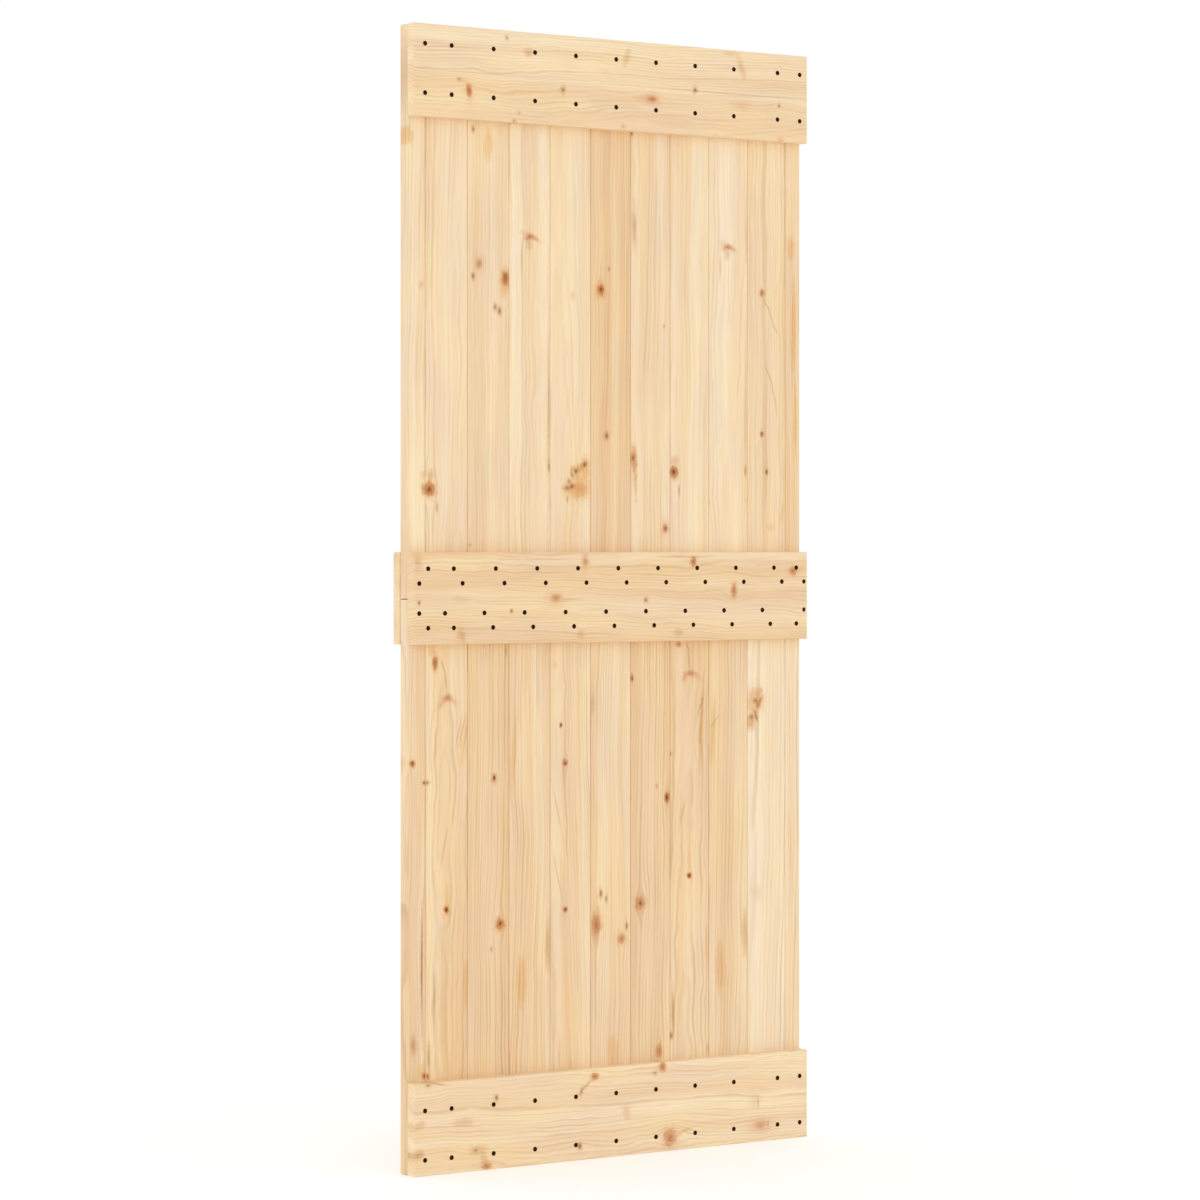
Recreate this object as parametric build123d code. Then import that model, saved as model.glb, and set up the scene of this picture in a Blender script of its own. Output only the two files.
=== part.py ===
from build123d import *
from math import radians, tan
import os

# Ledged plank door leaf, in millimetres.
# Two stacked fields of tongue-and-groove planks are held together by wide battens: three on the
# front (top, middle, bottom) and one on the back, over the seam between the two fields.
# The origin is the centre of the top batten's front face, where a hanger is bolted on.
# X runs along the width, Y from the front face into the door, Z up.

# Planks
PLANK_COVER = 91.7  # face width that a full plank adds to the leaf
FULL_PLANKS = 9  # full planks between the two ripped ones
LEFT_RIP = 37.0  # face width left on the ripped plank at the left edge
RIGHT_RIP = 34.7  # face width left on the ripped plank at the right edge
LEAF_T = 28.0
FIELD_H = 1048.5  # height of one field of planks
SEAM_GAP = 1.5  # open joint between the upper and the lower field
PLANK_ARRIS = 1.2  # eased long edges, which make the V at each joint

# Tongue-and-groove joint
TONGUE_T = 8.0
TONGUE_L = 7.0  # from the plank's own shoulder
TONGUE_EASE = 1.0
JOINT_GAP = 0.6  # between the shoulders of two planks
TONGUE_CLEARANCE = 0.2  # on each flat of the tongue
TIP_CLEARANCE = 0.6  # between the tongue's tip and the bottom of the groove

# Battens
BATTEN_H = 169.0
BATTEN_T = 22.0
BATTEN_ROUND = 1.5  # rounding of the edges of the face that shows
SIDE_REVEAL = 1.5  # battens stand past the planks at both sides
BOTTOM_REVEAL = 1.5  # bottom batten stands past the planks' lower ends
MIDDLE_LIFT = 1.5  # middle battens' centre above the seam's centre

# Screw seats in the front battens, as a countersunk head presses them into the wood
HEAD_SEAT_D = 9.4
SHANK_D = 5.0
SEAT_ANGLE = 90.0  # full angle of the countersink
SEAT_SIDES = 16  # flats round a seat, few because the seats are many

# Screw rows, measured in the height of the batten
END_ROW_PITCH = 90.0  # between the two rows of the top and bottom battens
TOP_ROW_DROP = 36.6  # first row below the door's top edge
BOTTOM_ROW_LIFT = 29.2  # first row above the door's bottom edge
MIDDLE_NEAR_ROW = 27.3  # rows on each side of the middle batten's centre
MIDDLE_FAR_ROW = 54.2

# Screw places along a row, as shifts from the centre of each plank, from left to right
PAIR_SPREAD = 19.1  # between the two screws of a pair in the middle batten
END_SHIFTS = [3.8] + [-3.3] * (FULL_PLANKS - 1) + [10.0, 0.7]
UPPER_PAIR_SHIFTS = [0.9] + [11.0] * FULL_PLANKS + [1.9]
LOWER_PAIR_SHIFTS = [0.8, -8.0, -14.0] + [-17.0] * (FULL_PLANKS - 2) + [2.1]

# Sizes that follow
LEAF_W = LEFT_RIP + FULL_PLANKS * PLANK_COVER + RIGHT_RIP
DOOR_W = LEAF_W + 2 * SIDE_REVEAL
LEAF_H = 2 * FIELD_H + SEAM_GAP
DOOR_H = LEAF_H + BOTTOM_REVEAL
GROOVE_W = TONGUE_T + 2 * TONGUE_CLEARANCE
GROOVE_D = TONGUE_L - JOINT_GAP + TIP_CLEARANCE

# Levels that follow
TOP_Z = BATTEN_H / 2
BOTTOM_Z = TOP_Z - DOOR_H
UPPER_FIELD_Z = TOP_Z - FIELD_H
LOWER_FIELD_Z = BOTTOM_Z + BOTTOM_REVEAL
MIDDLE_Z = UPPER_FIELD_Z - SEAM_GAP / 2 + MIDDLE_LIFT
LEAF_BACK_Y = BATTEN_T + LEAF_T
LEAF_MIDDLE_Y = BATTEN_T + LEAF_T / 2


def plank_spans():
    """Left and right end of the face width of each plank, from left to right."""
    widths = [LEFT_RIP] + [PLANK_COVER] * FULL_PLANKS + [RIGHT_RIP]
    spans = []
    left = -LEAF_W / 2
    for width in widths:
        spans.append((left, left + width))
        left += width
    return spans


def plank_section(left, right, grooved, tongued):
    """Section of a plank: eased edges, a groove on its left and a tongue on its right."""
    shoulder = right - JOINT_GAP if tongued else right
    board = Pos((left + shoulder) / 2, LEAF_MIDDLE_Y) * Rectangle(shoulder - left, LEAF_T)
    section = chamfer(board.vertices(), PLANK_ARRIS)
    if tongued:
        tongue = Pos(shoulder + TONGUE_L / 2, LEAF_MIDDLE_Y) * Rectangle(TONGUE_L, TONGUE_T)
        tip = tongue.vertices().group_by(Axis.X)[-1]
        section += chamfer(tip, TONGUE_EASE)
    if grooved:
        section -= Pos(left + GROOVE_D / 2, LEAF_MIDDLE_Y) * Rectangle(GROOVE_D, GROOVE_W)
    return section


def plank_field(bottom_z):
    """All planks of one field; the outer edges of the two ripped planks are plain."""
    spans = plank_spans()
    planks = []
    for index, (left, right) in enumerate(spans):
        section = plank_section(left, right, index > 0, index < len(spans) - 1)
        planks.append(Pos(0, 0, bottom_z) * extrude(section, FIELD_H))
    return planks


def plain_batten(center_z, face_y, back_y):
    """A board across the door, with rounded edges round the face at face_y."""
    board = Pos(0, (face_y + back_y) / 2, center_z) * Box(DOOR_W, BATTEN_T, BATTEN_H)
    faces = board.faces().sort_by(Axis.Y)
    show_face = faces[0] if face_y < back_y else faces[-1]
    return fillet(show_face.edges(), BATTEN_ROUND)


def screw_seat():
    """The countersink that one screw head fills, from the front face in to the shank."""
    depth = (HEAD_SEAT_D - SHANK_D) / 2 / tan(radians(SEAT_ANGLE / 2))
    mouth = RegularPolygon(HEAD_SEAT_D / 2, SEAT_SIDES)
    return Rot(X=-90) * extrude(mouth, depth, taper=SEAT_ANGLE / 2)


def screwed_batten(center_z, places):
    """A front batten with a screw seat at each place (x, z)."""
    seat = screw_seat()
    return plain_batten(center_z, 0, BATTEN_T) - [Pos(x, 0, z) * seat for x, z in places]


def shifted_centers(shifts):
    """The planks' centres along X, each moved by its own shift."""
    return [(left + right) / 2 + shift for (left, right), shift in zip(plank_spans(), shifts)]


def end_places(first_row_z, second_row_z):
    """Screws of the top or bottom batten: one for each plank in both rows."""
    return [(x, z) for z in (first_row_z, second_row_z) for x in shifted_centers(END_SHIFTS)]


def pair_places(shifts, first_row_z, second_row_z, turned):
    """Slanted pairs of screws, one pair for each plank; the pair at index turned slants back."""
    places = []
    for index, x in enumerate(shifted_centers(shifts)):
        lean = -PAIR_SPREAD / 2 if index == turned else PAIR_SPREAD / 2
        places += [(x - lean, first_row_z), (x + lean, second_row_z)]
    return places


def middle_places():
    """Screws of the middle batten: pairs into the upper field and pairs into the lower one."""
    upper = pair_places(UPPER_PAIR_SHIFTS, MIDDLE_Z + MIDDLE_FAR_ROW, MIDDLE_Z + MIDDLE_NEAR_ROW, 0)
    last = len(LOWER_PAIR_SHIFTS) - 1
    lower = pair_places(LOWER_PAIR_SHIFTS, MIDDLE_Z - MIDDLE_NEAR_ROW, MIDDLE_Z - MIDDLE_FAR_ROW, last)
    return upper + lower


def door_pieces():
    """Every piece of the door by name."""
    pieces = {}
    for field, bottom_z in (("upper", UPPER_FIELD_Z), ("lower", LOWER_FIELD_Z)):
        for number, plank in enumerate(plank_field(bottom_z), start=1):
            pieces[f"{field}_plank_{number:02d}"] = plank
    top_row = TOP_Z - TOP_ROW_DROP
    bottom_row = BOTTOM_Z + BOTTOM_ROW_LIFT
    pieces["top_batten"] = screwed_batten(0, end_places(top_row, top_row - END_ROW_PITCH))
    pieces["middle_batten_front"] = screwed_batten(MIDDLE_Z, middle_places())
    pieces["middle_batten_back"] = plain_batten(MIDDLE_Z, LEAF_BACK_Y + BATTEN_T, LEAF_BACK_Y)
    pieces["bottom_batten"] = screwed_batten(
        BOTTOM_Z + BATTEN_H / 2, end_places(bottom_row, bottom_row + END_ROW_PITCH)
    )
    return pieces


os.makedirs("parts", exist_ok=True)
for name, piece in door_pieces().items():
    export_step(piece, f"parts/{name}.step")
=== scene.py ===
from math import cos, dist, pi, radians, sin
from random import Random

import bmesh
import bpy
from mathutils import Matrix, Vector


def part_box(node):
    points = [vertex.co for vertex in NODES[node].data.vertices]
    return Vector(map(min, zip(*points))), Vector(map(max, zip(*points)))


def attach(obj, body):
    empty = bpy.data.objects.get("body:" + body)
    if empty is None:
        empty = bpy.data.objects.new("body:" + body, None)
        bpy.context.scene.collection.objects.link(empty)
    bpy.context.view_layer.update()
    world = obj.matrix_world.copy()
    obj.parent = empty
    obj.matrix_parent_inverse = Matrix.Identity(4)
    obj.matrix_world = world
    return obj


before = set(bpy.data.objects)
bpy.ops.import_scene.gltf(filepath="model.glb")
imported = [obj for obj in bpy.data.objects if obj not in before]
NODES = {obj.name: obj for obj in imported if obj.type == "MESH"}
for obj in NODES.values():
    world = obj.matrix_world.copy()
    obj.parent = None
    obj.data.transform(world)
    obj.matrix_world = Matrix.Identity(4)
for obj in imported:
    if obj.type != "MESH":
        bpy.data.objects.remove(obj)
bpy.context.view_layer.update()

PLANKS_IN_FIELD = 11
MM = 0.001
DOOR_LEFT = -0.450  # where the marks' own zero lies in the frame, in metres
DOOR_BOTTOM = -2.0155

# Camera, fitted to the perspective of the door's edges
CAMERA_PLACE = (-4.3130, -6.1929, -0.8755)
CAMERA_TURN = -34.609
CAMERA_LENS = 120.35
CAMERA_SHIFT_Y = -0.0414

# Light
AMBIENT = 0.90
KEY_FROM = (-0.60, -0.78, 0.12)
KEY_STRENGTH = 0.35
KEY_ANGLE = 40.0
FLOOR_COLOR = (0.94, 0.94, 0.94, 1.0)
FLOOR_GLOW = 0.11  # for all rays
FLOOR_WHITE = 0.08  # more of it where the floor is seen as the background
FLOOR_SIZE = 60.0

# Tone of the palest boards, and how much deeper than that the boards are
PINE_TONE = "f4dab3"
UPPER_DEPTHS = [0.06, 0.12, 0.10, 0.0, 0.05, 0.29, 0.07, 0.04, -0.04, 0.12, 0.34]
LOWER_DEPTHS = [0.16, 0.24, 0.31, 0.14, 0.22, 0.18, 0.22, 0.25, 0.16, -0.12, -0.01]
BATTEN_DEPTHS = {
    "top_batten": 0.09, "middle_batten_front": 0.21, "middle_batten_back": 0.15, "bottom_batten": 0.02,
}

# How the wood departs from its tone: colour ratios, and how deep each of them is laid on
BAND_TINT = (0.81, 0.60, 0.43, 1.0)  # pale and deep bands along the grain
GREY_TINT, GREY_DEPTH = (0.92, 0.91, 1.08, 1.0), 0.28  # greyer and warmer patches
LINE_TINT = (0.69, 0.60, 0.46, 1.0)  # the dark end of a year's growth
FIBRE_DEPTH = 0.15
PAINTED_END_LIGHT = (1.04, 1.05, 1.05, 1.0)  # painted light: sawn ends made paler, as if lit more brightly than the planed faces
LINE_MEAN = 0.13  # what lines and fibres take away on average, given back to the tone
UPPER_CONTRAST, LOWER_CONTRAST, BATTEN_CONTRAST = 0.38, 0.60, 0.45  # of the year lines

# How often each change repeats, per millimetre across the grain, into the board and along the grain
SWAY_PACE, SWAY_WIDTH = (0.006, 0.006, 0.0022), 26.0
WAVE_PACE = (0.014, 0.014, 0.0075)
RIPPLE_PACE, RIPPLE_WIDTH = (0.05, 0.05, 0.02), 3.0
FADE_PACE = (0.03, 0.03, 0.005)  # where the year lines grow faint
FIBRE_PACE = (0.28, 0.28, 0.005)
BAND_PACE = (0.03, 0.012, 0.0008)
PATCH_PACE = (0.020, 0.020, 0.004)
RAGGED_PACE = (0.16, 0.16, 0.10)  # of the marks' outlines
YEAR_PACE, YEAR_SPREAD = (0.05, 0.01, 1.0), 3.0  # wide and narrow years

# Share of dark late wood through one year, and how strong a year's line is at least
LATE_WOOD = [(0.0, 0.0), (0.45, 0.1), (0.72, 1.0), (0.85, 1.0), (1.0, 0.0)]
LEAST_VIGOUR, VIGOUR_POWER = 0.25, 1.3
LEAST_PRESENCE = 0.35
FLAT_CUT_PRESENCE = 0.3  # in the middle of a flat-cut board

# Surface of the wood
PLANED_ROUGHNESS = 0.60
LATE_ROUGHNESS = -0.10  # late wood is harder and smoother
SAWN_ROUGHNESS = 0.2  # more of it on sawn ends
SAWN_FACING = (0.6, 0.9)  # how squarely a face looks along the grain
WOOD_SPECULAR = 0.25
RELIEF_STRENGTH, RELIEF_HEIGHT = 0.35, 0.0002

# How the grain flows round a knot: reach in sizes of the knot, push aside, softness and swelling
FLOW_REACH = (1.2, 1.0, 2.6)
FLOW_ASIDE, FLOW_SOFTNESS, FLOW_SWELL = 0.85, 0.35, 0.3

# How strong the pale and deep bands are in each board
UPPER_BANDS = [0.18, 0.16, 0.12, 0.16, 0.13, 0.2, 0.16, 0.15, 0.15, 0.16, 0.2]
LOWER_BANDS = [0.2, 0.2, 0.1, 0.17, 0.2, 0.18, 0.2, 0.22, 0.18, 0.08, 0.2]
BATTEN_BANDS = 0.18

# How each plank was cut from its log: the pith's place from the middle of the plank's face, across the
# plank and into it, and the pith's drift over one metre of plank in the same two directions, in millimetres
UPPER_CUTS = [
    (-70, 40, 10, 6), (35, 30, -12, 14), (-130, 20, 8, 5), (20, 24, 10, -16), (-30, 40, -8, 18),
    (150, 30, 9, 4), (-60, 35, 14, -9), (40, 35, -12, 15), (15, 26, 10, -17), (-95, 35, 12, 8),
    (80, 30, -6, 9),
]
LOWER_CUTS = [
    (90, 30, 6, 5), (-10, 30, 6, 14), (-140, 25, 7, 4), (120, 40, 10, 6), (-34, 22, -14, 20),
    (-150, 20, 6, -5), (110, 35, 9, 7), (-14, 28, 8, 12), (125, 38, 10, 6), (-60, 40, 9, -13),
    (-75, 45, 8, 9),
]
BATTEN_CUTS = {
    "top_batten": (-95, 45, 30, -26),
    "middle_batten_front": (100, 40, -34, 28),
    "middle_batten_back": (-20, -60, 20, 24),
    "bottom_batten": (-110, 50, -50, -30),
}

# How far the grain waves to and fro, and the width of a year's growth, in millimetres
UPPER_WAVES = [8, 8, 8, 16, 8, 6, 8, 8, 16, 14, 12]
LOWER_WAVES = [10, 16, 8, 10, 16, 8, 8, 18, 10, 8, 10]
UPPER_GROWTH = [8, 8, 7, 8, 9, 7, 8, 9, 8, 8, 7]
LOWER_GROWTH = [7, 6.5, 6.5, 7, 7, 6.5, 6.5, 6.5, 7, 8, 7]
BATTEN_WAVE, BATTEN_GROWTH = 20, 5.5

# Knots and streaks, listed one by one: distance from the door's left edge, height above its lower edge,
# half width, half height (millimetres), depth of colour, and a lean to the right in degrees
MARKS = {
    "top_batten": {
        "knot": [(119, 1983, 5, 10, 0.9, -15), (531, 1994, 9, 6, 0.45)],
        "pink": [
            (531, 1994, 12, 7, 0.7), (742, 1994, 15, 6, 0.35), (836, 1934, 6, 4, 0.6),
            (120, 1978, 7, 15, 0.4), (249, 2061, 6, 5, 0.6),
        ],
        "pin": [
            (97, 2003, 4, 3, 0.4), (327, 1998, 4, 5, 0.65), (218, 1934, 4, 3, 0.4),
            (229, 1949, 3, 3, 0.25), (631, 2018, 4, 4, 0.8), (832, 2000, 3, 3, 0.6),
            (464, 1938, 4, 3, 0.25), (202, 2086, 3, 3, 0.55),
        ],
        "orange": [(507, 1994, 18, 2.5, 0.7), (425, 2037, 12, 7, 0.3)],
        "tan": [
            (250, 2064, 9, 9, 0.35), (472, 2068, 6, 15, 0.9, 20), (741, 2068, 6, 19, 0.9, -20),
            (715, 2093, 16, 4, 0.6), (106, 2002, 10, 4, 0.5),
        ],
        "brown": [(700, 2016, 190, 1.4, 0.4), (110, 2017, 110, 1.2, 0.25)],
    },
    "middle_batten_front": {
        "knot": [
            (627, 1119, 6, 8, 1.0), (723, 1064, 6, 13, 0.8), (866, 1100, 9, 8, 0.75),
            (377, 1118, 5, 6, 0.35), (311, 1051, 9, 6, 0.4),
        ],
        "pink": [
            (8, 1117, 6, 11, 0.6), (311, 1051, 13, 8, 0.6), (377, 1122, 6, 14, 0.6),
            (101, 985, 8, 10, 0.45),
        ],
        "pin": [(11, 1044, 3, 3, 0.7), (212, 1028, 2.6, 3, 0.8), (516, 1046, 4, 4, 0.65)],
        "tan": [
            (100, 1051, 15, 4, 0.5), (367, 983, 8, 8, 0.8, 30), (591, 984, 9, 6, 0.9),
            (104, 984, 4, 12, 0.6, -25),
        ],
        "brown": [(345, 1049, 24, 2, 0.3), (270, 1123, 100, 1.3, 0.3), (600, 1128, 50, 1.6, 0.5)],
    },
    "middle_batten_back": {
        "knot": [(150, 1090, 8, 10, 0.8), (640, 1010, 10, 9, 0.8)],
        "pink": [(330, 1035, 9, 7, 0.7), (800, 1105, 8, 9, 0.7)],
        "pin": [(480, 1080, 3, 4, 0.7), (70, 1005, 3, 3, 0.6), (735, 1060, 3, 4, 0.6)],
    },
    "bottom_batten": {
        "knot": [
            (399, 154, 7, 6, 1.0), (158, 7, 10, 5, 0.7), (555, 161, 7, 8, 0.9), (572, 25, 14, 15, 0.8),
            (787, 30, 10, 7, 0.2),
        ],
        "pink": [(787, 30, 20, 10, 0.7)],
        "pin": [
            (30, 165, 5, 3, 0.5), (179, 131, 3, 4, 0.8), (365, 26, 4, 5, 0.9), (537, 150, 5, 3, 0.5),
            (133, 38, 4, 3, 0.4),
        ],
        "orange": [
            (607, 36, 16, 3, 1.2, -12),
        ],
        "tan": [
            (472, 81, 7, 13, 0.7, -10), (773, 78, 12, 12, 0.4), (8, 39, 13, 8, 1.1, -20),
            (108, 92, 20, 7, 0.85), (11, 93, 12, 7, 0.9, -20), (139, 38, 17, 8, 0.9),
            (152, 18, 7, 13, 0.9, -15),
        ],
        "brown": [
            (52, 166, 16, 2, 0.6, 10), (378, 137, 3, 20, 0.5, 50), (368, 128, 3, 9, 0.6, 10),
            (8, 41, 10, 1.5, 0.35), (8, 36, 10, 1.5, 0.35), (781, 76, 2.5, 11, 0.4),
            (805, 33, 2, 6, 0.35), (790, 37, 15, 1.5, 0.3),
        ],
    },
    "upper": {
        "knot": [
            (155, 1669, 6, 8, 0.5), (213, 1642, 8, 12, 0.8), (427, 1630, 7, 9, 0.9),
            (47, 1252, 11, 12, 1.0), (35, 1252, 6, 10, 0.7), (807, 1638, 5, 7, 0.9),
            (807, 1365, 4, 5, 0.85), (504, 1315, 7, 20, 0.6), (597, 1289, 9, 11, 1.15),
            (577, 1181, 5, 7, 0.7),
        ],
        "pink": [
            (29, 1625, 4, 5, 0.6), (269, 1724, 7, 3.6, 1.2), (262, 1721, 6, 3, 0.9, -30),
            (280, 1720, 8, 3, 0.9, 25), (364, 1617, 3, 6, 0.5), (725, 1724, 7, 3.6, 1.2),
            (718, 1721, 6, 3, 0.8, -30), (736, 1720, 8, 3, 0.8, 25), (576, 1181, 8, 11, 0.6),
            (381, 1258, 20, 16, 0.45), (155, 1669, 9, 12, 0.4), (503, 1757, 4, 22, 0.6),
            (505, 1288, 4, 22, 0.5),
        ],
        "pin": [
            (142, 1916, 3, 5, 0.6), (142, 1645, 3, 5, 0.7), (190, 1590, 3, 5, 0.6),
            (200, 1583, 3.5, 6, 0.7), (446, 1670, 2, 3, 0.5), (441, 1356, 4, 6, 0.75),
            (135, 1150, 3, 3, 0.3), (499, 1928, 2, 3, 0.7), (574, 1567, 2, 4, 0.35),
            (818, 1292, 2.5, 4, 1.3), (391, 1301, 5, 5.5, 0.7), (371, 1289, 4.5, 5.5, 0.6),
            (362, 1260, 5, 4.5, 0.65), (351, 1257, 6, 5, 0.5), (501, 1315, 3, 5, 0.5),
            (214, 1648, 4, 6, 0.45), (428, 1632, 3, 3.5, 0.7), (46, 1251, 3, 3, 0.5),
            (596, 1290, 4, 4, 0.6), (578, 1182, 2, 2, 0.5), (807, 1366, 2, 2, 0.5),
        ],
        "orange": [
            (175, 1889, 8, 24, 0.9), (46, 1249, 12, 13, 0.8), (213, 1639, 10, 26, 1.0),
            (393, 1298, 9, 18, 0.9), (384, 1272, 17, 26, 0.9), (372, 1250, 23, 13, 0.9),
            (884, 1570, 5, 75, 1.2), (888, 1395, 4, 60, 0.9), (876, 1726, 8, 20, 1.0),
            (829, 1184, 9, 6, 0.6), (854, 1208, 4, 20, 0.5, 15), (2, 1897, 8, 14, 1.2),
            (427, 1628, 12, 15, 0.7), (215, 1500, 5, 90, 0.4),
        ],
        "tan": [
            # the first tan mark, a long strip at the leaf's left edge, is painted shade: it darkens that
            # edge along the upper field
            (0, 1530, 5, 420, 0.22), (49, 1278, 7, 9, 1.2), (34, 1277, 6, 8, 0.9),
            (599, 1312, 9, 7, 0.9), (255, 1730, 10, 5, 0.45), (266, 1710, 6, 10, 0.9),
            (712, 1730, 10, 5, 0.45), (723, 1710, 6, 10, 0.9), (378, 1294, 12, 6, 1.1, -30),
        ],
        "brown": [
            (63, 1218, 2, 10, 0.75), (310, 1296, 2.5, 10, 1.0), (309, 1400, 2.5, 200, 0.3),
            (310, 1400, 2, 90, 0.4), (507, 1745, 3, 36, 0.4), (508, 1262, 2.5, 34, 0.5),
            (609, 1254, 2, 9, 0.8), (767, 1294, 2.5, 10, 0.9), (767, 1400, 2.5, 170, 0.3),
            (768, 1740, 2, 40, 0.4), (816, 1617, 1.8, 16, 0.35, -36), (829, 1592, 1.8, 19, 0.35, -20),
            (840, 1568, 1.8, 14, 0.3, -34), (822, 1483, 1.8, 15, 0.4, -26),
            (832, 1455, 1.8, 20, 0.35, -14), (840, 1420, 1.8, 22, 0.3, -9), (361, 1288, 3, 9, 0.7),
            (363, 1281, 5, 4, 0.6), (356, 1270, 5, 5, 0.8), (351, 1235, 2, 7, 0.6),
            # the first brown mark here is painted shade on the leaf's left edge beside the top batten
            (2, 2010, 6, 75, 0.4), (249.5, 1685, 2.5, 24, 0.4), (706.5, 1685, 2.5, 24, 0.4),
        ],
    },
    "lower": {
        "knot": [
            (59, 934, 5, 12, 1.15), (10, 751, 5, 6, 1.0), (346, 742, 5, 6, 0.85), (84, 480, 4.5, 5, 1.3),
            (201, 448, 8, 9, 0.85), (346, 468, 5, 5, 0.9), (417, 436, 9, 18, 0.65),
            (36, 179, 4.5, 5, 1.2), (43, 178, 3.5, 5, 1.0), (608, 961, 6, 5, 0.7),
            (581, 670, 5, 10, 1.1), (519, 471, 10, 11, 0.8), (475, 406, 7, 8, 0.65),
            (633, 518, 4.5, 5, 1.4), (562, 188, 7, 12, 0.7),
        ],
        "pink": [
            (86, 870, 7, 4, 1.25), (75, 861, 4, 11, 0.6, 45), (97, 863, 4, 10, 0.55, -55),
            (636, 905, 8, 3.5, 1.2), (621, 897, 4, 7, 0.7, 35), (650, 900, 4, 8, 0.5, -60),
            (417, 436, 11, 20, 0.5), (476, 406, 10, 10, 0.3), (789, 852, 15, 17, 0.5),
            (778, 805, 7, 8, 0.6),
        ],
        "pin": [
            (35, 715, 3, 3, 0.9), (42, 715, 3, 3, 0.7), (188, 719, 3.5, 5, 0.9),
            (337, 813, 2.3, 3.2, 1.5), (182, 403, 2, 4, 0.4), (428, 494, 3, 7, 0.75),
            (440, 484, 2.5, 6, 0.55), (500, 898, 2.3, 5, 1.1), (589, 752, 2, 4, 0.45),
            (557, 692, 2, 5, 0.4), (487, 430, 2.5, 6, 0.6), (591, 215, 3, 6, 0.6),
            (10, 752, 2, 2.5, 0.8), (188, 720, 2, 2.5, 0.7), (347, 741, 2.2, 2.2, 0.8),
            (83, 481, 2, 2.5, 0.9), (202, 450, 2.5, 2.5, 0.7), (347, 468, 2, 2, 0.8),
            (580, 670, 3, 5, 0.7), (633, 518, 2, 2.5, 1.0), (519, 471, 3, 3, 0.5),
        ],
        "orange": [
            (52, 958, 7, 13, 0.8), (85, 505, 4, 24, 0.6), (126, 344, 4, 38, 0.8),
            (249, 340, 9, 42, 0.95), (790, 850, 18, 21, 0.9), (781, 813, 11, 17, 1.0),
            (633, 545, 4, 24, 0.5), (706, 339, 9, 41, 0.95), (232, 765, 5, 60, 0.6, 5),
            (689, 790, 5, 55, 0.8, 3), (661, 785, 4.5, 60, 0.8, 3), (121, 785, 7, 42, 0.5, 8),
            (677, 374, 5, 40, 0.6), (455, 195, 11, 26, 0.7), (876, 560, 4, 70, 0.4, -4),
            (201, 447, 12, 15, 0.6), (188, 717, 6, 11, 0.5), (85, 478, 8, 12, 0.5),
            (33, 188, 10, 14, 0.7),
        ],
        "tan": [
            (324, 926, 5, 7, 0.5), (308, 402, 6, 36, 1.2), (766, 402, 7, 36, 1.2),
            (797, 478, 10, 15, 0.35), (409, 851, 5, 16, 0.7), (14, 236, 7, 15, 0.5),
        ],
        "brown": [
            (75.5, 929, 1.8, 12, 0.5, -22), (82, 901, 1.8, 17, 0.5, -7), (214, 953, 2.5, 11, 0.5),
            (30, 375, 2.0, 90, 1.3), (57, 315, 2.8, 38, 0.6), (45, 212, 3, 24, 0.7),
            (11, 238, 4.5, 16, 0.5), (628, 957, 1.8, 8, 0.5, -28), (632, 931, 1.8, 22, 0.45, -4),
            (791, 849, 5, 4, 1.0), (804, 851, 3, 9, 0.9, 25), (797, 841, 4.5, 6, 0.8),
            (805, 868, 2.5, 8, 0.5), (782, 818, 6, 6, 0.9), (790, 825, 3.5, 8, 0.8, -20),
            (795, 813, 2.5, 8, 0.6, -15), (595, 258, 3, 34, 0.9), (676, 186, 3, 11, 0.45),
            (329, 655, 1.6, 46, 0.35, -13), (331, 525, 1.6, 50, 0.35, -13), (618, 641, 1.6, 24, 0.4, 15),
            (80, 600, 1.6, 40, 0.3, 12), (110, 805, 1.6, 26, 0.35, 14), (118, 808, 1.6, 30, 0.4, 14),
            (125, 800, 1.6, 34, 0.35, 10), (664, 850, 1.8, 16, 0.4, 20), (655, 830, 1.6, 20, 0.35, 15),
            (694, 812, 1.8, 14, 0.4, 40),
        ],
    },
}

# How each kind of mark tints the wood from its heart outwards: reach (1 is the mark's edge) and colour ratio
MARK_REACH = 2.5
MARK_TINTS = {
    "knot": [
        (0.0, (0.48, 0.23, 0.12)), (0.4, (0.61, 0.35, 0.22)), (0.7, (0.76, 0.51, 0.36)),
        (0.95, (0.70, 0.47, 0.33)), (1.12, (0.89, 0.75, 0.65)), (1.5, (0.97, 0.91, 0.86)),
        (2.1, (1.0, 1.0, 1.0)),
    ],
    "pink": [
        (0.0, (0.76, 0.54, 0.46)), (0.5, (0.83, 0.64, 0.57)), (1.0, (0.89, 0.75, 0.69)),
        (1.5, (0.95, 0.88, 0.85)), (2.5, (1.0, 1.0, 1.0)),
    ],
    "pin": [
        (0.0, (0.30, 0.18, 0.09)), (0.5, (0.42, 0.28, 0.17)), (0.9, (0.66, 0.52, 0.40)),
        (1.4, (0.86, 0.76, 0.67)), (2.5, (1.0, 1.0, 1.0)),
    ],
    "orange": [
        (0.0, (0.94, 0.80, 0.62)), (0.7, (0.94, 0.81, 0.64)), (1.0, (0.96, 0.87, 0.75)),
        (1.5, (1.0, 1.0, 1.0)),
    ],
    "tan": [
        (0.0, (0.84, 0.74, 0.62)), (0.6, (0.87, 0.78, 0.68)), (1.0, (0.92, 0.86, 0.80)),
        (1.6, (1.0, 1.0, 1.0)),
    ],
    "brown": [
        (0.0, (0.58, 0.42, 0.31)), (0.5, (0.68, 0.54, 0.43)), (1.0, (0.85, 0.77, 0.70)),
        (1.7, (1.0, 1.0, 1.0)),
    ],
}
ROUND_KINDS = ("knot", "pin")  # branches, which the grain flows round

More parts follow.
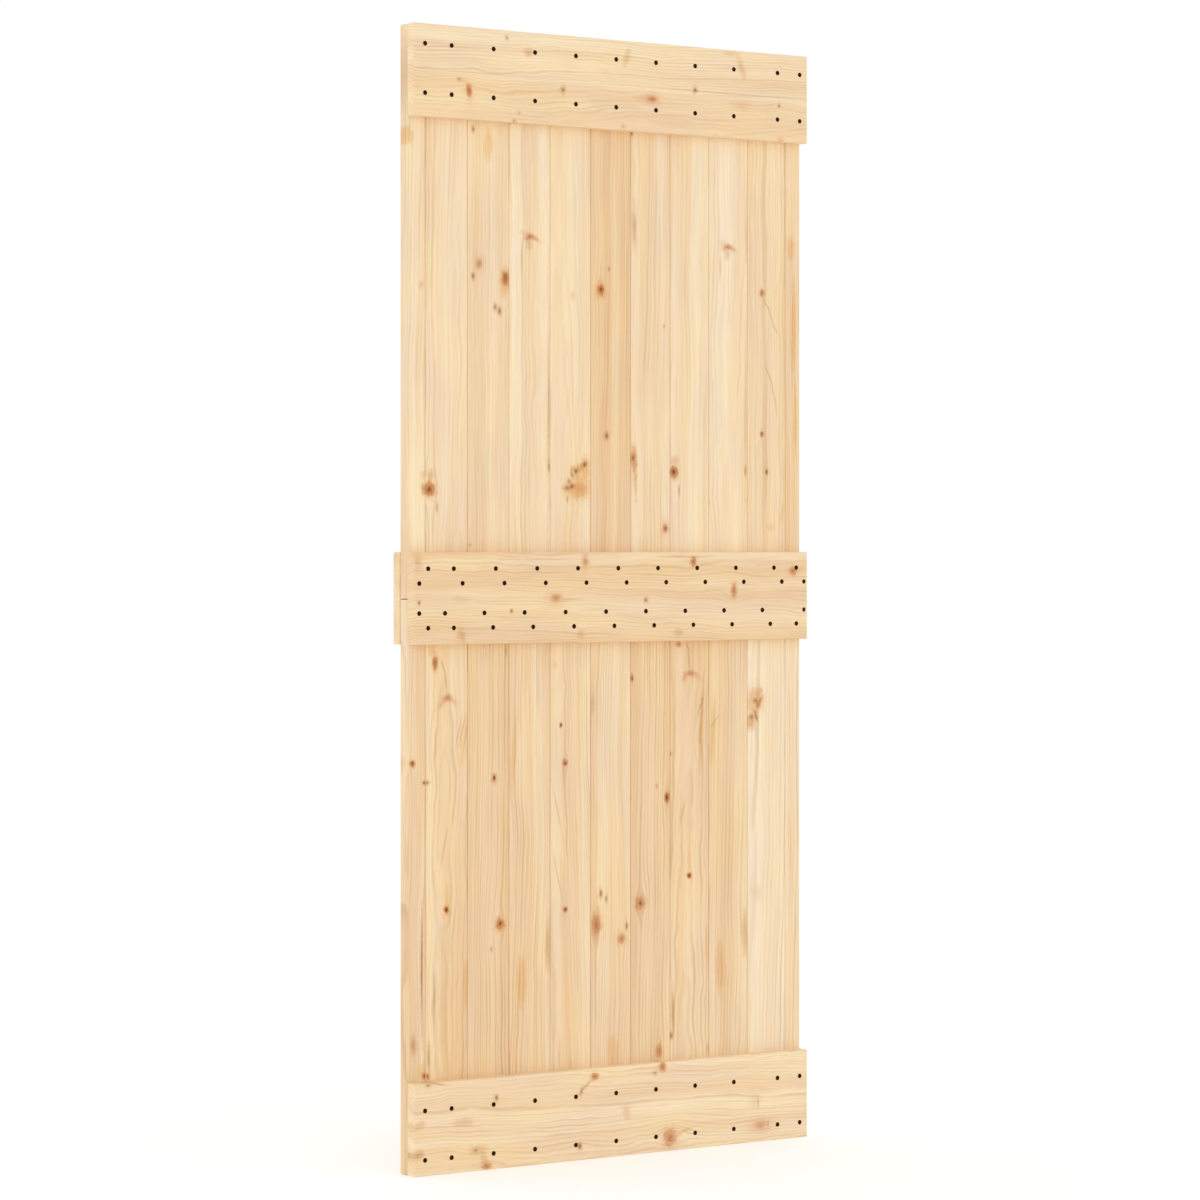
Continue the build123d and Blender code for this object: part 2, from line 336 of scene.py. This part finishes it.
# Screws
SCREW_HEAD_R = 4.5
SCREW_SINK = 0.04  # head below the batten's face
SCREW_RIM = 0.04
SCREW_CONE_R = 2.4  # under the head, where it meets the shank
SCREW_DEPTH = 2.1
SCREW_SIDES = 24
RECESS_ARM = 2.4
RECESS_HALF_WIDTH = 0.6
RECESS_DEPTH = 1.4
RECESS_TAPER = 0.55
SEAT_REACH = 0.0100  # two points nearer than this are on one seat's rim
SEAT_CLEAR = 0.0040  # seats lie further than this from the batten's edges
FACE_TOLERANCE = 1e-5
SCREW_TONES = ("2c1400", "3f1f02")
SCREW_ROUGHNESS = (0.38, 0.6)
SCREW_BLOTCHES = 900.0
SCREW_SPECULAR = 0.08

# Seeds of the random draws; each board adds its number
UPPER_SEED, LOWER_SEED, BATTEN_SEED, SCREW_SEED = 100, 150, 200, 7
SEED_SPREAD = 4000


def shade(code):
    """A linear colour from its six hexadecimal digits."""
    channels = [int(code[i:i + 2], 16) / 255 for i in (0, 2, 4)]
    linear = [c / 12.92 if c <= 0.04045 else ((c + 0.055) / 1.055) ** 2.4 for c in channels]
    return (*linear, 1.0)


class Graph:
    """Short calls for wiring one node tree."""

    def __init__(self, tree):
        self.tree = tree

    def node(self, kind, **settings):
        made = self.tree.nodes.new(kind)
        for name, value in settings.items():
            setattr(made, name, value)
        return made

    def feed(self, socket, value):
        """Links a socket, or sets a plain value on it."""
        if isinstance(value, bpy.types.NodeSocket):
            self.tree.links.new(value, socket)
        else:
            socket.default_value = value

    def call(self, kind, values, output=0, **settings):
        """Adds a node, feeds its inputs by name or number, and gives one of its outputs."""
        made = self.node(kind, **settings)
        for key, value in values.items():
            self.feed(made.inputs[key], value)
        return made.outputs[output]

    def math(self, operation, *values):
        return self.call("ShaderNodeMath", dict(enumerate(values)), operation=operation)

    def vector(self, operation, *values, output=0):
        return self.call("ShaderNodeVectorMath", dict(enumerate(values)), output, operation=operation)

    def split(self, vector):
        made = self.node("ShaderNodeSeparateXYZ")
        self.feed(made.inputs[0], vector)
        return list(made.outputs)

    def join(self, x, y, z):
        return self.call("ShaderNodeCombineXYZ", {0: x, 1: y, 2: z})

    def noise(self, place, stretch, detail=2.0, output=0):
        """Noise of the place, with its own frequency along each direction."""
        scaled = self.vector("MULTIPLY", place, stretch)
        return self.call("ShaderNodeTexNoise", {"Vector": scaled, "Scale": 1.0, "Detail": detail}, output)

    def remap(self, value, low, high, to_low=0.0, to_high=1.0):
        inputs = {0: value, 1: low, 2: high, 3: to_low, 4: to_high}
        return self.call("ShaderNodeMapRange", inputs, interpolation_type="SMOOTHSTEP")

    def mix(self, factor, first, second, blend="MIX"):
        inputs = {0: factor, 6: first, 7: second}
        return self.call("ShaderNodeMix", inputs, 2, data_type="RGBA", blend_type=blend)

    def tinted(self, color, tint, depth):
        """The colour times a tint to the power of depth, so that a shallow tint keeps its hue."""
        laid_on = self.call("ShaderNodeGamma", {"Color": tint, "Gamma": depth})
        return self.mix(1.0, color, laid_on, blend="MULTIPLY")

    def ramp(self, value, stops):
        """A colour ramp from (position, colour) stops."""
        made = self.node("ShaderNodeValToRGB")
        elements = made.color_ramp.elements
        while len(elements) < len(stops):
            elements.new(1.0)
        for element, (position, color) in zip(elements, stops):
            element.position = position
            element.color = color
        self.feed(made.inputs[0], value)
        return made.outputs[0]

    def group(self, tree, values):
        made = self.node("ShaderNodeGroup", node_tree=tree)
        for key, value in values.items():
            self.feed(made.inputs[key], value)
        return made.outputs


def new_group(name, inputs, outputs):
    """An empty node group; gives its graph, its input sockets by name, and its output node."""
    tree = bpy.data.node_groups.new(name, "ShaderNodeTree")
    for sockets, direction in ((inputs, "INPUT"), (outputs, "OUTPUT")):
        for socket, kind in sockets.items():
            tree.interface.new_socket(name=socket, in_out=direction, socket_type=f"NodeSocket{kind}")
    graph = Graph(tree)
    entry = graph.node("NodeGroupInput")
    return graph, {socket: entry.outputs[socket] for socket in inputs}, graph.node("NodeGroupOutput")


def make_pine():
    """Pine as annual rings round a tilted pith; places are in millimetres of the board."""
    inputs = {
        "Place": "Vector", "Bend": "Vector", "Seed": "Vector", "Pith": "Vector", "Drift": "Vector",
        "Wave": "Float", "Growth": "Float", "Contrast": "Float", "Depth": "Float", "Bands": "Float",
    }
    outputs = {"Color": "Color", "Height": "Float", "Roughness": "Float"}
    graph, given, result = new_group("pine", inputs, outputs)
    place = graph.vector("ADD", given["Place"], given["Seed"])

    def wander(stretch, width):
        """A smooth sideways shift of the grain."""
        shift = graph.vector("SUBTRACT", graph.noise(place, stretch, output=1), (0.5, 0.5, 0.5))
        sideways = graph.vector("MULTIPLY", shift, (1.0, 1.0, 0.0))
        return graph.call("ShaderNodeVectorMath", {0: sideways, "Scale": width}, operation="SCALE")

    sway = graph.vector("ADD", wander(SWAY_PACE, SWAY_WIDTH), wander(WAVE_PACE, given["Wave"]))
    shifts = graph.vector("ADD", sway, wander(RIPPLE_PACE, RIPPLE_WIDTH))
    grain = graph.vector("ADD", graph.vector("ADD", given["Place"], given["Bend"]), shifts)

    along = graph.split(given["Place"])[2]
    drift = graph.call("ShaderNodeVectorMath", {0: given["Drift"], "Scale": along}, operation="SCALE")
    from_pith = graph.vector("SUBTRACT", grain, graph.vector("ADD", given["Pith"], drift))
    from_pith = graph.vector("MULTIPLY", from_pith, (1.0, 1.0, 0.0))
    radius = graph.vector("LENGTH", from_pith, output="Value")

    seed = graph.split(given["Seed"])[0]
    uneven = graph.noise(graph.join(radius, seed, 0.0), YEAR_PACE)
    age = graph.math("MULTIPLY_ADD", uneven, YEAR_SPREAD, graph.math("DIVIDE", radius, given["Growth"]))
    season = graph.math("FRACT", age)
    late = graph.ramp(season, [(at, (share, share, share, 1.0)) for at, share in LATE_WOOD])
    year = graph.math("ADD", graph.math("FLOOR", age), seed)
    vigour = graph.call("ShaderNodeTexWhiteNoise", {"W": year}, noise_dimensions="1D")
    vigour = graph.math("POWER", vigour, VIGOUR_POWER)
    vigour = graph.math("MULTIPLY_ADD", vigour, 1 - LEAST_VIGOUR, LEAST_VIGOUR)
    swayed = graph.vector("ADD", place, sway)
    presence = graph.remap(graph.noise(swayed, FADE_PACE), 0.35, 0.62, LEAST_PRESENCE, 1.0)
    slant = graph.math("DIVIDE", graph.math("ABSOLUTE", graph.split(from_pith)[0]), radius)
    presence = graph.math("MULTIPLY", presence, graph.remap(slant, 0.1, 0.6, FLAT_CUT_PRESENCE, 1.0))
    late = graph.math("MULTIPLY", late, graph.math("MULTIPLY", vigour, presence))

    fibre = graph.remap(graph.noise(swayed, FIBRE_PACE, detail=3.0), 0.35, 0.70)
    band = graph.remap(graph.noise(swayed, BAND_PACE, detail=1.0), 0.27, 0.73, -1.0, 1.0)
    patch = graph.remap(graph.noise(place, PATCH_PACE), 0.3, 0.7, -GREY_DEPTH, GREY_DEPTH)
    lines = graph.math("MULTIPLY_ADD", late, given["Contrast"], graph.math("MULTIPLY", fibre, FIBRE_DEPTH))
    tone_depth = graph.math("MULTIPLY_ADD", band, given["Bands"], given["Depth"])
    color = graph.tinted(shade(PINE_TONE), BAND_TINT, tone_depth)
    color = graph.tinted(color, GREY_TINT, patch)
    color = graph.tinted(color, LINE_TINT, graph.math("SUBTRACT", lines, LINE_MEAN))
    graph.feed(result.inputs["Color"], color)

    height = graph.math("ADD", graph.math("MULTIPLY", late, 0.5), graph.math("MULTIPLY", fibre, 0.5))
    graph.feed(result.inputs["Height"], height)
    roughness = graph.math("MULTIPLY_ADD", late, LATE_ROUGHNESS, PLANED_ROUGHNESS)
    graph.feed(result.inputs["Roughness"], roughness)
    return graph.tree


def make_mark_shape():
    """How far a place lies from a mark's heart, and how the grain bends round it."""
    inputs = {"Place": "Vector", "Ragged": "Float", "Heart": "Vector", "Size": "Vector", "Lean": "Float"}
    graph, given, result = new_group("mark_shape", inputs, {"Reach": "Float", "Bend": "Vector"})
    off = graph.vector("SUBTRACT", given["Place"], given["Heart"])
    lean = {"Vector": off, "Angle": given["Lean"]}
    turned = graph.call("ShaderNodeVectorRotate", lean, rotation_type="Y_AXIS")
    flat = graph.vector("MULTIPLY", turned, (1.0, 0.0, 1.0))
    reach = graph.vector("LENGTH", graph.vector("DIVIDE", flat, given["Size"]), output="Value")
    ragged = graph.math("ADD", given["Ragged"], 0.5)
    graph.feed(result.inputs["Reach"], graph.math("MULTIPLY", reach, ragged))

    stretched = graph.vector("MULTIPLY", given["Size"], FLOW_REACH)
    flow = graph.vector("DIVIDE", flat, stretched)
    flow = graph.vector("DOT_PRODUCT", flow, flow, output="Value")
    aside = graph.math("DIVIDE", -FLOW_ASIDE, graph.math("ADD", flow, FLOW_SOFTNESS))
    across = graph.math("MULTIPLY", graph.split(flat)[0], aside)
    swell = graph.math("EXPONENT", graph.math("MULTIPLY", flow, -0.5))
    depth = graph.math("MULTIPLY", graph.split(given["Size"])[0], FLOW_SWELL)
    into = graph.math("MULTIPLY", swell, depth)
    graph.feed(result.inputs["Bend"], graph.join(across, into, 0.0))
    return graph.tree


def make_mark_tint(kind):
    """Lays the colours of one kind of mark over the wood."""
    inputs = {"Color": "Color", "Reach": "Float", "Depth": "Float"}
    graph, given, result = new_group(f"mark_{kind}", inputs, {"Color": "Color"})
    stops = [(reach / MARK_REACH, (*tint, 1.0)) for reach, tint in MARK_TINTS[kind]]
    tint = graph.ramp(graph.math("DIVIDE", given["Reach"], MARK_REACH), stops)
    graph.feed(result.inputs["Color"], graph.tinted(given["Color"], tint, given["Depth"]))
    return graph.tree


PINE = make_pine()
MARK_SHAPE = make_mark_shape()
MARK_LAYERS = {kind: make_mark_tint(kind) for kind in MARK_TINTS}


def board_material(name, center, lying, cut, tone_depth, bands, contrast, wave, growth, marks, seed):
    """Pine for one board; marks are (kind, x, z, half width, half height, depth, lean) from its centre."""
    material = bpy.data.materials.new(f"pine_{name}")
    material.use_nodes = True
    graph = Graph(material.node_tree)
    shader = material.node_tree.nodes["Principled BSDF"]

    place = graph.node("ShaderNodeTexCoord").outputs["Object"]
    offset = [-c / MM for c in center]
    scale = (1 / MM,) * 3
    place = graph.call("ShaderNodeMapping", {"Vector": place, "Location": offset, "Scale": scale})
    if lying:
        x, y, z = graph.split(place)
        place = graph.join(z, y, x)

    draw = Random(seed)
    shift = [draw.uniform(-SEED_SPREAD, SEED_SPREAD) for _ in range(3)]
    ragged = graph.noise(graph.vector("ADD", place, shift), RAGGED_PACE, detail=3.0)

    bend = (0.0, 0.0, 0.0)
    reaches = []
    for kind, x, z, half_width, half_height, depth, lean in marks:
        heart = (z, 0.0, x) if lying else (x, 0.0, z)
        size = (half_height, 1.0, half_width) if lying else (half_width, 1.0, half_height)
        turn = radians(lean if lying else -lean)
        values = {"Place": place, "Ragged": ragged, "Heart": heart, "Size": size, "Lean": turn}
        shape = graph.group(MARK_SHAPE, values)
        reaches.append((kind, shape["Reach"], depth))
        if kind in ROUND_KINDS:
            bend = graph.vector("ADD", bend, shape["Bend"])

    across, into, drift_across, drift_into = cut
    wood = graph.group(PINE, {
        "Place": place, "Bend": bend, "Seed": shift, "Pith": (across, into, 0.0),
        "Drift": (drift_across * MM, drift_into * MM, 0.0), "Wave": wave, "Growth": growth,
        "Contrast": contrast, "Depth": tone_depth, "Bands": bands,
    })
    color = wood["Color"]
    for kind, reach, depth in reaches:
        color = graph.group(MARK_LAYERS[kind], {"Color": color, "Reach": reach, "Depth": depth})["Color"]

    # sawn ends are rougher than planed faces, and painted paler: painted light, as if the ends were lit more
    # brightly
    facing = graph.split(graph.node("ShaderNodeTexCoord").outputs["Normal"])[0 if lying else 2]
    end = graph.remap(graph.math("ABSOLUTE", facing), *SAWN_FACING)
    color = graph.tinted(color, PAINTED_END_LIGHT, end)
    graph.feed(shader.inputs["Base Color"], color)
    roughness = graph.math("MULTIPLY_ADD", end, SAWN_ROUGHNESS, wood["Roughness"])
    graph.feed(shader.inputs["Roughness"], roughness)
    relief = {"Strength": RELIEF_STRENGTH, "Distance": RELIEF_HEIGHT, "Height": wood["Height"]}
    graph.feed(shader.inputs["Normal"], graph.call("ShaderNodeBump", relief))
    shader.inputs["Specular IOR Level"].default_value = WOOD_SPECULAR
    return material


def board_marks(group, center, keep):
    """Marks of a group that lie on one board, measured from the board's centre in millimetres."""
    found = []
    for kind, items in MARKS[group].items():
        for x, z, half_width, half_height, depth, *lean in items:
            if keep(x):
                from_x = x + (DOOR_LEFT - center.x) / MM
                from_z = z + (DOOR_BOTTOM - center.z) / MM
                turn = lean[0] if lean else 0
                found.append((kind, from_x, from_z, half_width, half_height, depth, turn))
    return found


def dress(name, material):
    for slot in NODES[name].material_slots:
        slot.material = material


def dress_planks(field, depths, bands, cuts, waves, growth, contrast, first_seed):
    names = [f"{field}_plank_{number:02d}" for number in range(1, PLANKS_IN_FIELD + 1)]
    lefts = [(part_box(name)[0].x - DOOR_LEFT) / MM for name in names] + [1 / MM]
    lefts[0] = 0
    for index, name in enumerate(names):
        low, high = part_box(name)
        center = Vector(((low.x + high.x) / 2, low.y, (low.z + high.z) / 2))
        marks = board_marks(field, center, lambda x: lefts[index] <= x < lefts[index + 1])
        dress(name, board_material(
            name, center, False, cuts[index], depths[index], bands[index], contrast,
            waves[index], growth[index], marks, first_seed + index,
        ))


def dress_battens():
    for index, (name, cut) in enumerate(BATTEN_CUTS.items()):
        low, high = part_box(name)
        center = Vector(((low.x + high.x) / 2, low.y, (low.z + high.z) / 2))
        marks = board_marks(name, center, lambda x: True)
        dress(name, board_material(
            name, center, True, cut, BATTEN_DEPTHS[name], BATTEN_BANDS, BATTEN_CONTRAST,
            BATTEN_WAVE, BATTEN_GROWTH, marks, BATTEN_SEED + index,
        ))


def seat_centers(name):
    """Centres of a batten's screw seats, from the rims that they leave in its front face."""
    low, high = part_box(name)
    rim = set()
    for vertex in NODES[name].data.vertices:
        x, y, z = vertex.co
        inside_x = low.x + SEAT_CLEAR < x < high.x - SEAT_CLEAR
        inside_z = low.z + SEAT_CLEAR < z < high.z - SEAT_CLEAR
        if inside_x and inside_z and y - low.y < FACE_TOLERANCE:
            rim.add((round(x, 6), round(z, 6)))
    seats = []
    for point in sorted(rim):
        near = [seat for seat in seats if dist(seat[0], point) < SEAT_REACH]
        if near:
            near[0].append(point)
        else:
            seats.append([point])
    centers = []
    for seat in seats:
        middle_x = sum(x for x, _ in seat) / len(seat)
        middle_z = sum(z for _, z in seat) / len(seat)
        centers.append((middle_x, low.y, middle_z))
    return centers


def ring(bm, points):
    """A closed loop of edges through the points; gives its vertices and its edges."""
    verts = [bm.verts.new(point) for point in points]
    edges = [bm.edges.new((verts[i - 1], verts[i])) for i in range(len(verts))]
    return verts, edges


def skin(bm, first, second):
    """Quads between two loops with the same number of vertices."""
    for i in range(len(first)):
        bm.faces.new((first[i - 1], first[i], second[i], second[i - 1]))


def add_screw(bm, center, turn):
    """A countersunk screw head with a cross recess, sunk just below the face; y runs into the wood."""
    start = len(bm.verts)

    def circle(radius, depth):
        steps = [2 * pi * i / SCREW_SIDES for i in range(SCREW_SIDES)]
        return [(radius * cos(a), depth, radius * sin(a)) for a in steps]

    def cross(scale, depth):
        arm, half = RECESS_ARM * scale, RECESS_HALF_WIDTH * scale
        corner = [(arm, -half), (arm, half), (half, half)]
        turns = [(1, 0), (0, 1), (-1, 0), (0, -1)]
        return [(x * c - z * s, depth, x * s + z * c) for c, s in turns for x, z in corner]

    top, top_edges = ring(bm, circle(SCREW_HEAD_R, SCREW_SINK))
    rim, _ = ring(bm, circle(SCREW_HEAD_R, SCREW_SINK + SCREW_RIM))
    neck, _ = ring(bm, circle(SCREW_CONE_R, SCREW_DEPTH))
    mouth, mouth_edges = ring(bm, cross(1.0, SCREW_SINK))
    pit, _ = ring(bm, cross(RECESS_TAPER, SCREW_SINK + RECESS_DEPTH))
    bmesh.ops.triangle_fill(bm, edges=top_edges + mouth_edges, use_beauty=True)
    skin(bm, top, rim)
    skin(bm, rim, neck)
    skin(bm, mouth, pit)
    bm.faces.new(neck)
    bm.faces.new(pit)
    bm.verts.ensure_lookup_table()
    place = Matrix.Translation(center) @ Matrix.Rotation(turn, 4, "Y") @ Matrix.Scale(MM, 4)
    bmesh.ops.transform(bm, matrix=place, verts=bm.verts[start:])


def screw_material():
    """Dark brown coated steel, slightly blotched."""
    material = bpy.data.materials.new("screw_steel")
    material.use_nodes = True
    graph = Graph(material.node_tree)
    shader = material.node_tree.nodes["Principled BSDF"]
    place = graph.node("ShaderNodeTexCoord").outputs["Object"]
    blotch = graph.noise(place, (SCREW_BLOTCHES,) * 3, detail=4.0)
    dark, pale = SCREW_TONES
    color = graph.ramp(blotch, [(0.3, shade(dark)), (0.7, shade(pale))])
    graph.feed(shader.inputs["Base Color"], color)
    graph.feed(shader.inputs["Roughness"], graph.remap(blotch, 0.3, 0.7, *SCREW_ROUGHNESS))
    bump = graph.call("ShaderNodeBump", {"Strength": 0.3, "Distance": 0.00005, "Height": blotch})
    graph.feed(shader.inputs["Normal"], bump)
    shader.inputs["Specular IOR Level"].default_value = SCREW_SPECULAR
    return material


def make_screws(batten, material, draw):
    mesh = bpy.data.meshes.new(f"{batten}_screws")
    bm = bmesh.new()
    for center in seat_centers(batten):
        add_screw(bm, center, draw.uniform(0, pi / 2))
    bmesh.ops.recalc_face_normals(bm, faces=bm.faces)
    bm.to_mesh(mesh)
    bm.free()
    screws = bpy.data.objects.new(f"{batten}_screws", mesh)
    screws.data.materials.append(material)
    bpy.context.scene.collection.objects.link(screws)
    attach(screws, "root")


def background_view(graph):
    """1 for the rays that show the background itself: camera, glossy and transmission rays."""
    path = graph.node("ShaderNodeLightPath").outputs
    mirrored = graph.math("MAXIMUM", path["Is Glossy Ray"], path["Is Transmission Ray"])
    return graph.math("MAXIMUM", path["Is Camera Ray"], mirrored)


def make_stage():
    world = bpy.data.worlds.new("studio")
    world.use_nodes = True
    bpy.context.scene.world = world
    graph = Graph(world.node_tree)
    strength = graph.math("MULTIPLY_ADD", background_view(graph), 1 - AMBIENT, AMBIENT)
    background = world.node_tree.nodes["Background"]
    background.inputs["Color"].default_value = (1.0, 1.0, 1.0, 1.0)
    graph.feed(background.inputs["Strength"], strength)

    bm = bmesh.new()
    bmesh.ops.create_grid(bm, x_segments=8, y_segments=8, size=FLOOR_SIZE / 2)
    mesh = bpy.data.meshes.new("floor")
    bm.to_mesh(mesh)
    bm.free()
    floor = bpy.data.objects.new("floor", mesh)
    floor.location.z = DOOR_BOTTOM
    bpy.context.scene.collection.objects.link(floor)
    material = bpy.data.materials.new("floor_white")
    material.use_nodes = True
    graph = Graph(material.node_tree)
    shader = material.node_tree.nodes["Principled BSDF"]
    shader.inputs["Base Color"].default_value = FLOOR_COLOR
    shader.inputs["Roughness"].default_value = 0.9
    shader.inputs["Specular IOR Level"].default_value = 0.0
    shader.inputs["Emission Color"].default_value = (1.0, 1.0, 1.0, 1.0)
    glow = graph.math("MULTIPLY_ADD", background_view(graph), FLOOR_WHITE, FLOOR_GLOW)
    graph.feed(shader.inputs["Emission Strength"], glow)
    mesh.materials.append(material)

    key = bpy.data.lights.new("key", "SUN")
    key.energy = KEY_STRENGTH
    key.angle = radians(KEY_ANGLE)
    lamp = bpy.data.objects.new("key", key)
    lamp.rotation_euler = Vector(KEY_FROM).to_track_quat("Z", "Y").to_euler()
    bpy.context.scene.collection.objects.link(lamp)


def make_camera():
    data = bpy.data.cameras.new("camera")
    data.lens = CAMERA_LENS
    data.shift_y = CAMERA_SHIFT_Y
    data.clip_end = 100.0
    camera = bpy.data.objects.new("camera", data)
    camera.location = CAMERA_PLACE
    camera.rotation_euler = (radians(90), 0.0, radians(CAMERA_TURN))
    bpy.context.scene.collection.objects.link(camera)
    bpy.context.scene.camera = camera


dress_planks(
    "upper", UPPER_DEPTHS, UPPER_BANDS, UPPER_CUTS, UPPER_WAVES, UPPER_GROWTH, UPPER_CONTRAST, UPPER_SEED
)
dress_planks(
    "lower", LOWER_DEPTHS, LOWER_BANDS, LOWER_CUTS, LOWER_WAVES, LOWER_GROWTH, LOWER_CONTRAST, LOWER_SEED
)
dress_battens()
screw_steel = screw_material()
screw_draw = Random(SCREW_SEED)
for batten in ("top_batten", "middle_batten_front", "bottom_batten"):
    make_screws(batten, screw_steel, screw_draw)
make_stage()
make_camera()
bpy.context.scene.view_settings.view_transform = "Standard"
